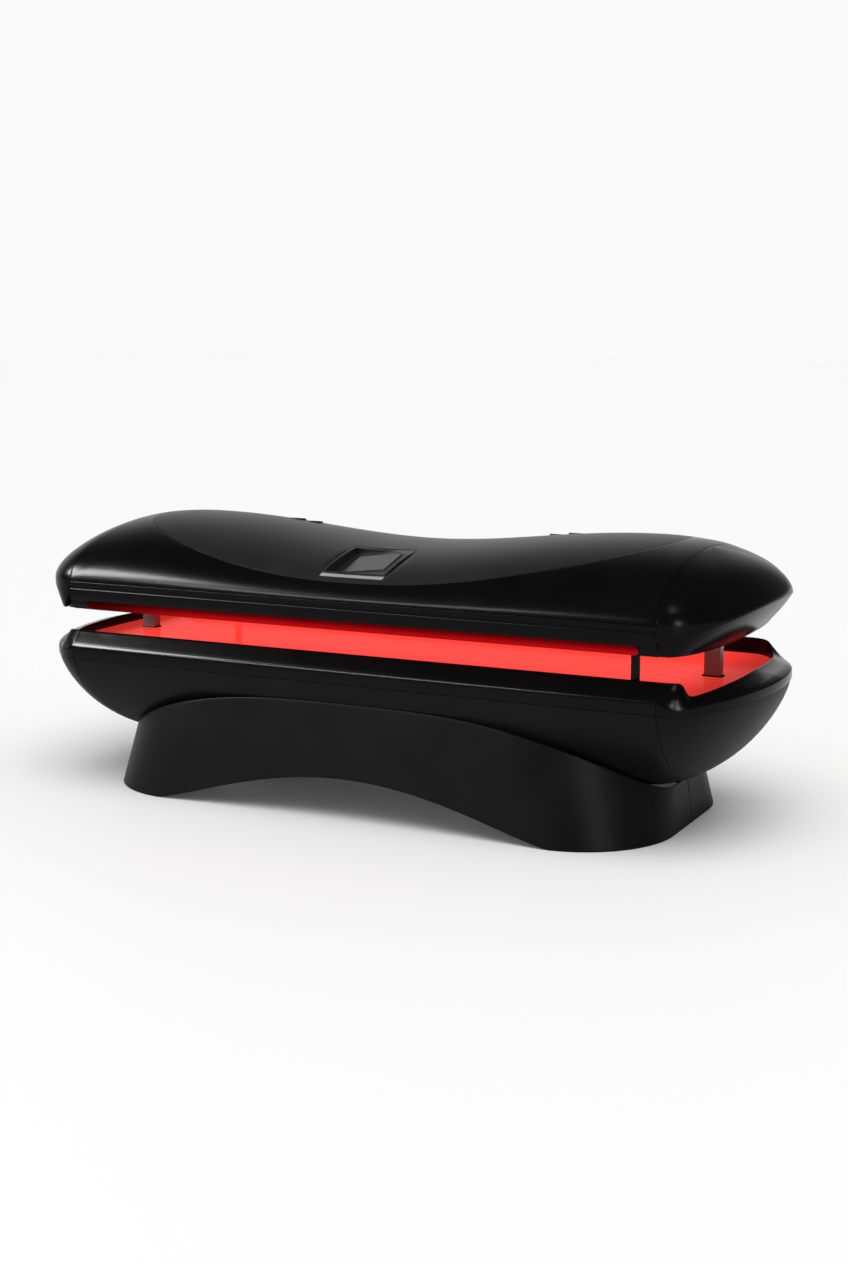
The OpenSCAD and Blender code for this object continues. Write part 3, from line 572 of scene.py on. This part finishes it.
def build_chins(side):
    """Tucked lower faces that carry the side rails' section round into a cap."""
    # Steps in from the lip and heights
    section = [(0.0062, 0.5900), (0.0062, 0.5738), (0.0130, 0.5720), (0.0140, 0.5590), (0.0210, 0.5502),
               (0.0210, 0.5465), (0.0260, 0.5460), (0.0260, 0.5900)]
    t = np.linspace(-1, 1, 161)
    near = lip(t, 0)[:, 0] < 0.966
    for tag, half in (("front", t < 0), ("rear", t >= 0)):
        kept = t[near & half]
        pts = np.array([np.column_stack([lip(kept, d), np.full(len(kept), z)]) for d, z in section])
        pts[:, :, 0] *= side
        name = "canopy_chin_" + tag + "_" + end_tag(side)
        obj = add_grid(name, pts.transpose(1, 0, 2), GLOSS, wrap=True)
        sharpen(obj)
        place(obj, "canopy", "canopy_cap_" + end_tag(side))


def sweep_side(name, outline, y, side, material, stations=49):
    """Closed section between the seams: steps in from the half width y, and heights."""
    sec = np.array([(side * (y - d), z) for d, z in outline])
    rows = [np.column_stack([np.full(len(sec), x), sec]) for x in np.linspace(-SIDE_END, SIDE_END, stations)]
    return add_tube(name, np.array(rows), material)


def build_canopy_rail(side):
    """Side rail of the canopy: rounded top, groove, upright face and the tucked part below it."""
    top, r = SIDE_Z - HALF_GAP, 0.0015
    outline = [(0.007, top)]
    outline += [(r * (1 - math.sin(a)), top - r * (1 - math.cos(a))) for a in np.linspace(0, math.pi / 2, 4)]
    outline += [(0, 0.6155), (0.0008, 0.6143), (0.0035, 0.6135), (0.0035, 0.6085), (0.0008, 0.6075)]
    face = [(0, 0.6062), (0, 0.600), (0.0002, 0.594), (0.0009, 0.588), (0.0024, 0.582), (0.0044, 0.577),
            (0.0062, 0.5738)]
    outline += [tuple(q) for q in catmull(face, 3)]
    outline += [(0.0072, 0.5728), (0.013, 0.572), (0.0140, 0.559), (0.021, 0.5502), (0.021, 0.5455)]
    outline += [(0.026, 0.545), (0.026, 0.561), (0.092, 0.561), (0.092, 0.565), (0.018, 0.565)]
    outline += [(0.018, 0.573), (0.012, 0.585), (0.007, 0.589)]
    obj = sweep_side("canopy_side_" + side_tag(side), outline, CAN_Y, side, GLOSS)
    sharpen(obj)
    place(obj, "canopy", "canopy_rail_" + side_tag(side))


def build_reflection_strips():
    """Strips in the tucked lower faces of the canopy's rails, with rounded ends, that glow red: a painted
    reflection of the lit deck.
    """
    # Steps in from the canopy's side and heights
    front = catmull([(0.0066, 0.5716), (0.0070, 0.5680), (0.0080, 0.5630), (0.0098, 0.5575),
                     (0.0130, 0.5515), (0.0170, 0.5470), (0.0206, 0.5453)], 3)
    section = np.vstack([front, [(0.0203, 0.5500), (0.0136, 0.5590), (0.0126, 0.5716)]])
    middle = np.array([0.012, 0.560])
    half, end = SEAM_X - 0.052, 0.013
    quarter = np.linspace(0, np.pi / 2, 9)
    xs = np.concatenate([-half + end * (1 - np.cos(quarter)),
                         np.linspace(-half + end, half - end, 40)[1:-1],
                         half - end * (1 - np.cos(quarter[::-1]))])
    for side in (-1, 1):
        rows = []
        for x in xs:
            u = np.clip((abs(x) - (half - end)) / end, 0, 1)
            size = max(0.02, math.sqrt(1 - u * u))
            sec = middle + (section - middle) * [1, size]
            rows.append(np.stack([np.full(len(sec), x), side * (CAN_Y - sec[:, 0]), sec[:, 1]], 1))
        obj = add_tube("canopy_reflection_strip_" + side_tag(side), np.array(rows), PAINTED_REFLECTION)
        sharpen(obj, 50)
        place(obj, "canopy", "canopy_edge_lights")


# Bed: top of a side rail, as steps in from its outer face and heights over its crease
RAIL_WIDTH = 0.044
RAIL_IN = [0, 0, 0.0007, 0.0028, 0.0068, 0.0125, 0.0225, 0.0310, 0.0360, 0.0392, 0.0418, 0.0436,
           RAIL_WIDTH, RAIL_WIDTH]
RAIL_UP = [-0.015, -0.009, -0.0028, 0.0028, 0.0084, 0.0150, 0.0258, 0.0348, 0.0402, 0.0432, 0.0446,
           0.0425, 0.034, 0.018]
CREASE_Z = RAIL_Z - 0.045
# Top of a rim over its own crease, lower than a rail and dished between the horns
RIM_UP = [-0.015, -0.005, 0.0012, 0.0035, 0.0065, 0.0098, 0.0128, 0.0158, 0.0182, 0.0202, 0.0210,
          0.0180, 0.0120, 0.0050]
# Height of a rim's crease, from the middle of the end to the seam
RIM_T = [0, 0.3, 0.55, 0.75, 0.86, 0.91, 0.96, 1]
RIM_CREASE = [0.434, 0.430, 0.422, 0.414, 0.413, 0.420, 0.428, CREASE_Z]


def build_bed_rail(side):
    """Side band of the bed with its sloping top and its inner wall down to the deck."""
    low = BAND_Z + HALF_GAP
    outline = [(0.006, low), (0.0014, low), (0.0004, low + 0.0004), (0, low + 0.0014)]
    outline += [tuple(q) for q in catmull(list(zip(RAIL_IN, [CREASE_Z + h for h in RAIL_UP])), 4)]
    outline += [(RAIL_WIDTH, DECK_Z - 0.0062), (0.050, DECK_Z - 0.0068), (0.050, low)]
    obj = sweep_side("bed_band_" + side_tag(side), outline, BED_Y, side, BAND)
    sharpen(obj, 50)
    place(obj, "base", "bed_rail_" + side_tag(side))


def band_rise(t):
    """Rise of the band seam towards the middle of an end."""
    return 0.015 * np.cos(np.pi / 2 * t) ** 2


def build_rim(side):
    """Rim round the bed's end: horns where the rails end, a dished top between them."""
    t = np.linspace(-1, 1, 161)
    a = np.abs(t)
    width = 0.080
    outer = np.stack(end_outline(t, END_START, BED_X, BED_Y, BED_P), 1)
    inner = np.stack(end_outline(t, END_START, BED_X - width, BED_Y - RAIL_WIDTH, 2.5), 1)
    horn = np.where(t < 0, soft_switch(a, 0.765, 0.020), soft_switch(a, 0.60, 0.045))
    crease = np.interp(a, RIM_T, RIM_CREASE)
    low = BAND_Z + HALF_GAP + band_rise(t)
    share = np.array(RAIL_IN) / RAIL_WIDTH
    fade = np.clip(1 - share / 0.4, 0, 1)
    line = []
    for s, f, rail_up, rim_up in zip(share, fade, RAIL_UP, RIM_UP):
        on_horn = CREASE_Z + rail_up + (crease - CREASE_Z) * f
        height = on_horn * horn + (crease + rim_up) * (1 - horn)
        line.append(np.append(np.full(len(t), s), height))
    rows = []
    for inward, rise in ((0.006, 0.0), (0.0014, 0.0), (0.0004, 0.0004), (0.0, 0.0014)):
        rows.append(np.column_stack([outer + (inner - outer) * (inward / width), low + rise]))
    for both in catmull(line, 3):
        s, height = both[: len(t)], both[len(t):]
        xy = outer + (inner - outer) * s[:, None]
        rows.append(np.column_stack([xy, np.maximum(height, low + 0.002)]))
    for depth in (0.002, 0.006):
        rows.append(np.column_stack([inner, np.minimum(rows[-1][:, 2] - 0.002, DECK_Z - depth)]))
    pts = np.array(rows)
    pts[:, :, 0] *= side
    obj = add_grid("bed_end_rim_" + end_tag(side), pts, BAND)
    face_out(obj, (side * 0.99, 0, BAND_Z - 0.05))
    thicken(obj, 0.003, 0.0006)
    place(obj, "base", "bed_rim_" + end_tag(side))


# Hull, a bowl of shrunk outline rings that ends at the band


def bowl(r):
    """Depth of ring r: 1 at the middle, 0 at the outline."""
    return (1 - np.minimum(r, 1) ** BOWL_RING_P) ** (1 / BOWL_P)


def build_hull_side(side):
    """Side cover of the hull between the seams."""
    middle = np.linspace(-HULL_C, HULL_C, 30)[1:-1]
    end = np.linspace(SIDE_END, HULL_C, 24)
    xs = np.concatenate([-end, middle, end[::-1]])
    s = np.sin(np.linspace(0, np.pi / 2, 40)) ** 0.8
    rows = []
    for x in xs:
        first = max(0.02, (abs(x) - HULL_C) / (HULL_X - HULL_C) + 1e-4)
        r = first + (1 - first) * s
        x_out = HULL_C + np.maximum(np.abs(x) - HULL_C, 0) / r
        u = np.clip((x_out - SEAM_X) / (HULL_X - SEAM_X), 0, 1)
        y = r * HULL_Y * (1 - u**BED_P) ** (1 / BED_P)
        rows.append(np.stack([np.full(len(s), x), side * y, BAND_Z - HULL_DROP * bowl(r)], 1))
    pts = np.array(rows)
    pts[:, -1, 2] -= HALF_GAP
    obj = add_grid("hull_cover_" + side_tag(side), pts, CHARCOAL)
    face_out(obj, (0, 0, BAND_Z))
    thicken(obj, 0.004)
    place(obj, "base", "hull_side_" + side_tag(side))


def build_hull_end(side):
    """End cover of the hull, up to the band's rising seam."""
    t = np.linspace(-1, 1, 121)
    first = (END_START - HULL_C) / (HULL_X - HULL_C)
    top = BAND_Z + band_rise(t)
    rows = []
    for r in first + (1 - first) * np.sin(np.linspace(0, np.pi / 2, 44)) ** 0.9:
        start = HULL_C + (END_START - HULL_C) / r
        ox, oy = end_outline(t, start, HULL_X, HULL_Y, BED_P)
        z = top - (top - BAND_Z + HULL_DROP) * bowl(r)
        rows.append(np.stack([HULL_C + r * (ox - HULL_C), r * oy, z], 1))
    pts = np.array(rows)
    pts[-1, :, 2] -= HALF_GAP
    pts[:, :, 0] *= side
    obj = add_grid("hull_nose_" + end_tag(side), pts, CHARCOAL)
    face_out(obj, (side * 0.92, 0, BAND_Z))
    thicken(obj, 0.004)
    place(obj, "base", "hull_end_" + end_tag(side))


# Plinth: height of the arch's top, which is also the skirt's top at its ends
ARCH_TOP = 0.121


def skirt_top(x):
    share = np.clip(np.abs(x) / (PLINTH_X - 0.006), 0, 1)
    return ARCH_TOP + (SKIRT_TOP - ARCH_TOP) * (1 - share**3.2) ** 0.9


def arch(x):
    return ARCH_TOP * np.clip(1 - (x / (PLINTH_X - 0.246)) ** 2, 0, None) ** 1.4


def plinth_point(t, z):
    """Front half of the plinth's outline at height z, t from 0 at the right seam to 1 at the left."""
    a, b = PLINTH_X - 0.12 * z, PLINTH_Y - 0.09 * z
    r = 0.280 + 0.33 * z
    lengths = [b - r, np.pi / 2 * r, 2 * (a - r), np.pi / 2 * r, b - r]
    cuts = np.cumsum(lengths)
    v = t * cuts[-1]
    if v <= cuts[0]:
        return a, -v
    if v <= cuts[1]:
        f = (v - cuts[0]) / r
        return a - r + r * math.cos(f), -b + r - r * math.sin(f)
    if v <= cuts[2]:
        return a - r - (v - cuts[1]), -b
    if v <= cuts[3]:
        f = (v - cuts[2]) / r
        return -a + r - r * math.sin(f), -b + r - r * math.cos(f)
    return -a, -b + r + (v - cuts[3])


def build_skirt(side):
    """Half of the plinth's skirt, from the arch below to the edge under the hull."""
    t = np.linspace(0.0004, 0.9996, 241)
    rows = []
    for k in np.linspace(0, 1, 26):
        z = np.full(len(t), 0.1)
        for _ in range(8):
            x = np.array([plinth_point(a, b)[0] for a, b in zip(t, z)])
            low = np.maximum(arch(x), 0.0009)
            z = low + (skirt_top(x) - low) * k
        xy = np.array([plinth_point(a, b) for a, b in zip(t, z)])
        rows.append(np.column_stack([xy[:, 0], -side * xy[:, 1], z]))
    obj = add_grid("plinth_skirt_" + side_tag(side), np.array(rows), CHARCOAL)
    face_out(obj, (0, 0, 0.15))
    thicken(obj, 0.004, 0.0015)
    place(obj, "base", "skirt_" + side_tag(side))


# Columns


def build_collar(side):
    """Low oval collar where a column goes through the deck."""
    low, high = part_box("column_middle_right")
    a, b = (high.x - low.x) / 2, (high.y - low.y) / 2
    rows = []
    for grow, p, z in ((0.001, 12, 0.0), (0.001, 12, 0.0025), (0.0065, 4, 0.0025), (0.0078, 3.6, 0.0014),
                       (0.0080, 3.6, 0.0)):
        loop = superellipse(a + grow, b + grow, p, 64) + [side * COLUMN_X, 0]
        rows.append(np.column_stack([loop, np.full(len(loop), DECK_Z + z)]))
    obj = add_grid("column_ring_" + end_tag(side), np.array([*rows, rows[0]]), RUBBER, wrap=True)
    sharpen(obj, 40)
    place(obj, "base", "column_collars")


# Finish of the solids that stay


def dress(names, material, edge=0.0008):
    """Gives nodes their material and rounds their edges."""
    for name in names.split():
        node = NODES[name]
        node.data.materials.clear()
        node.data.materials.append(material)
        if edge:
            round_edges(node, edge, 2)
        sharpen(node, 30)


def dress_solids():
    dress("skirt_joiners plinth_beam_left plinth_beam_right chassis_legs chassis_rail_front "
          "chassis_rail_rear hull_ribs bed_cross_bars column_brackets canopy_beam_front "
          "canopy_beam_rear canopy_end_beams", FRAME_PAINT)
    dress("bed_heat_sink canopy_heat_sink power_supplies", ALUMINIUM, 0)
    dress("column_inner_left column_inner_right column_middle_left column_middle_right "
          "column_outer_left column_outer_right", STEEL, 0.0015)
    dress("canopy_vents power_inlet power_rocker", PART_BLACK, 0.0005)
    dress("skirt_screws", STEEL, 0.0004)
    dress("levelling_feet rest_buffers", RUBBER)
    dress("rest_posts", BAND)
    dress("bed_led_boards canopy_led_boards", BOARD, 0)
    dress("control_box lift_motors bed_fan_frames canopy_fan_frames bed_fan_rotor_left "
          "bed_fan_rotor_right canopy_fan_rotor_left canopy_fan_rotor_right", PART_BLACK, 0)
    dress("display_bezel", BEZEL, 0.0006)
    dress("display_glass", GLASS, 0.0006)
    dress("bed_acrylic", DECK)
    dress("canopy_acrylic", HOOD)


# Floor, backdrop, lights and camera


def floor_material():
    """Pale grey with a faint glow that only the camera sees, so that the floor meets the backdrop."""
    m = bpy.data.materials.new("studio_floor")
    m.use_nodes = True
    t = m.node_tree
    shader = t.nodes["Principled BSDF"]
    shader.inputs["Base Color"].default_value = (0.93, 0.93, 0.93, 1)
    shader.inputs["Roughness"].default_value = 0.6
    shader.inputs["Specular IOR Level"].default_value = 0.1
    shader.inputs["Emission Color"].default_value = (1, 1, 1, 1)
    ray = t.nodes.new("ShaderNodeLightPath")
    glow = map_range(t, ray.outputs["Is Camera Ray"], 0, 1, 0.0, 0.045)
    t.links.new(glow, shader.inputs["Emission Strength"])
    return m


def build_floor():
    """Pale floor that runs to the horizon."""
    size = 60.0
    corners = [(-size, -size, 0), (size, -size, 0), (size, size, 0), (-size, size, 0)]
    add_object("floor", corners, [(0, 1, 2, 3)], floor_material(), smooth=False)


def build_world():
    """White backdrop for the camera, a softer level as light, and a dark room in reflections.

    Only the low rear left of the room is white in reflections, as a screen would be.
    """
    world = bpy.data.worlds.new("studio")
    bpy.context.scene.world = world
    world.use_nodes = True
    t = world.node_tree
    t.nodes.clear()
    out = t.nodes.new("ShaderNodeOutputWorld")
    ray = t.nodes.new("ShaderNodeLightPath").outputs
    white = background(t, 0.955)
    light = background(t, 0.50)
    dark = background(t, 0.03)
    aim = t.nodes.new("ShaderNodeTexCoord").outputs["Generated"]
    low = smooth_step(t, axis_of(t, aim, "Z"), 0.75, 0.15)
    rear = smooth_step(t, axis_of(t, aim, "Y"), -0.2, 0.3)
    left = smooth_step(t, axis_of(t, aim, "X"), 0.04, -0.24, 0.08, 1.0)
    screen = math_node(t, "MULTIPLY", math_node(t, "MULTIPLY", low, rear), left)
    mirrored = mix_shader(t, screen, dark, white)
    bent = math_node(t, "MAXIMUM", ray["Is Glossy Ray"], ray["Is Transmission Ray"])
    unseen = mix_shader(t, bent, light, mirrored)
    seen = mix_shader(t, ray["Is Camera Ray"], unseen, white)
    t.links.new(seen, out.inputs["Surface"])


def add_softbox(name, place_at, aim, size, level):
    """Softbox that shows in reflections only: the sun and the world light the surfaces."""
    lamp = bpy.data.lights.new(name, "AREA")
    lamp.shape = "RECTANGLE"
    lamp.size, lamp.size_y = size
    lamp.energy = level * math.pi * size[0] * size[1]
    obj = bpy.data.objects.new(name, lamp)
    obj.location = place_at
    obj.rotation_euler = (Vector(aim) - Vector(place_at)).to_track_quat("-Z", "Y").to_euler()
    obj.visible_diffuse = False
    bpy.context.scene.collection.objects.link(obj)


def add_sun(name, tilt_x, tilt_y, energy, angle):
    """Soft light from above that doesn't show in reflections, its angles in degrees."""
    sun = bpy.data.lights.new(name, "SUN")
    sun.energy = energy
    sun.angle = math.radians(angle)
    obj = bpy.data.objects.new(name, sun)
    obj.rotation_euler = (math.radians(tilt_x), math.radians(tilt_y), 0)
    obj.visible_glossy = False
    bpy.context.scene.collection.objects.link(obj)


def build_lights():
    """Lights whose reflections stand where the photograph shows highlights, and the sun."""
    add_softbox("softbox_left", (-2.72, -1.8, 2.33), (-0.75, -0.43, 0.66), (1.4, 0.8), 85)
    add_softbox("strip_right", (2.7, -2.1, 1.15), (0.96, -0.42, 0.42), (0.35, 1.2), 22)
    add_softbox("softbox_top", (1.45, -0.95, 2.75), (0.93, -0.43, 0.61), (0.35, 0.6), 8)
    add_softbox("strip_front", (-1.6, -3.1, 1.75), (-0.2, -0.43, 0.45), (1.8, 0.25), 60)
    add_sun("overhead", 16, 9, 1.75, 55)


def build_camera():
    """Camera fitted to the photograph, with its focal length in pixels of the longer side."""
    pitch, yaw = math.radians(9.595), math.radians(26.538)
    focal_px, long_px = 1836.0, 1264.0
    cam = bpy.data.cameras.new("camera")
    cam.sensor_width = 36.0
    cam.sensor_fit = "AUTO"
    cam.lens = focal_px * cam.sensor_width / long_px
    obj = bpy.data.objects.new("camera", cam)
    obj.location = (2.4474, -4.8171, 1.3921)
    obj.rotation_euler = (math.pi / 2 - pitch, 0, yaw)
    bpy.context.scene.collection.objects.link(obj)
    bpy.context.scene.camera = obj


build_camera()
build_cover()
build_inlay()
build_screen_strips()
build_reflection_strips()
for side in (-1, 1):
    build_cap(side)
    build_chins(side)
    build_canopy_rail(side)
    build_bed_rail(side)
    build_rim(side)
    build_hull_side(side)
    build_hull_end(side)
    build_skirt(side)
    build_collar(side)
dress_solids()
build_floor()
build_world()
build_lights()
bpy.context.scene.view_settings.view_transform = "Standard"
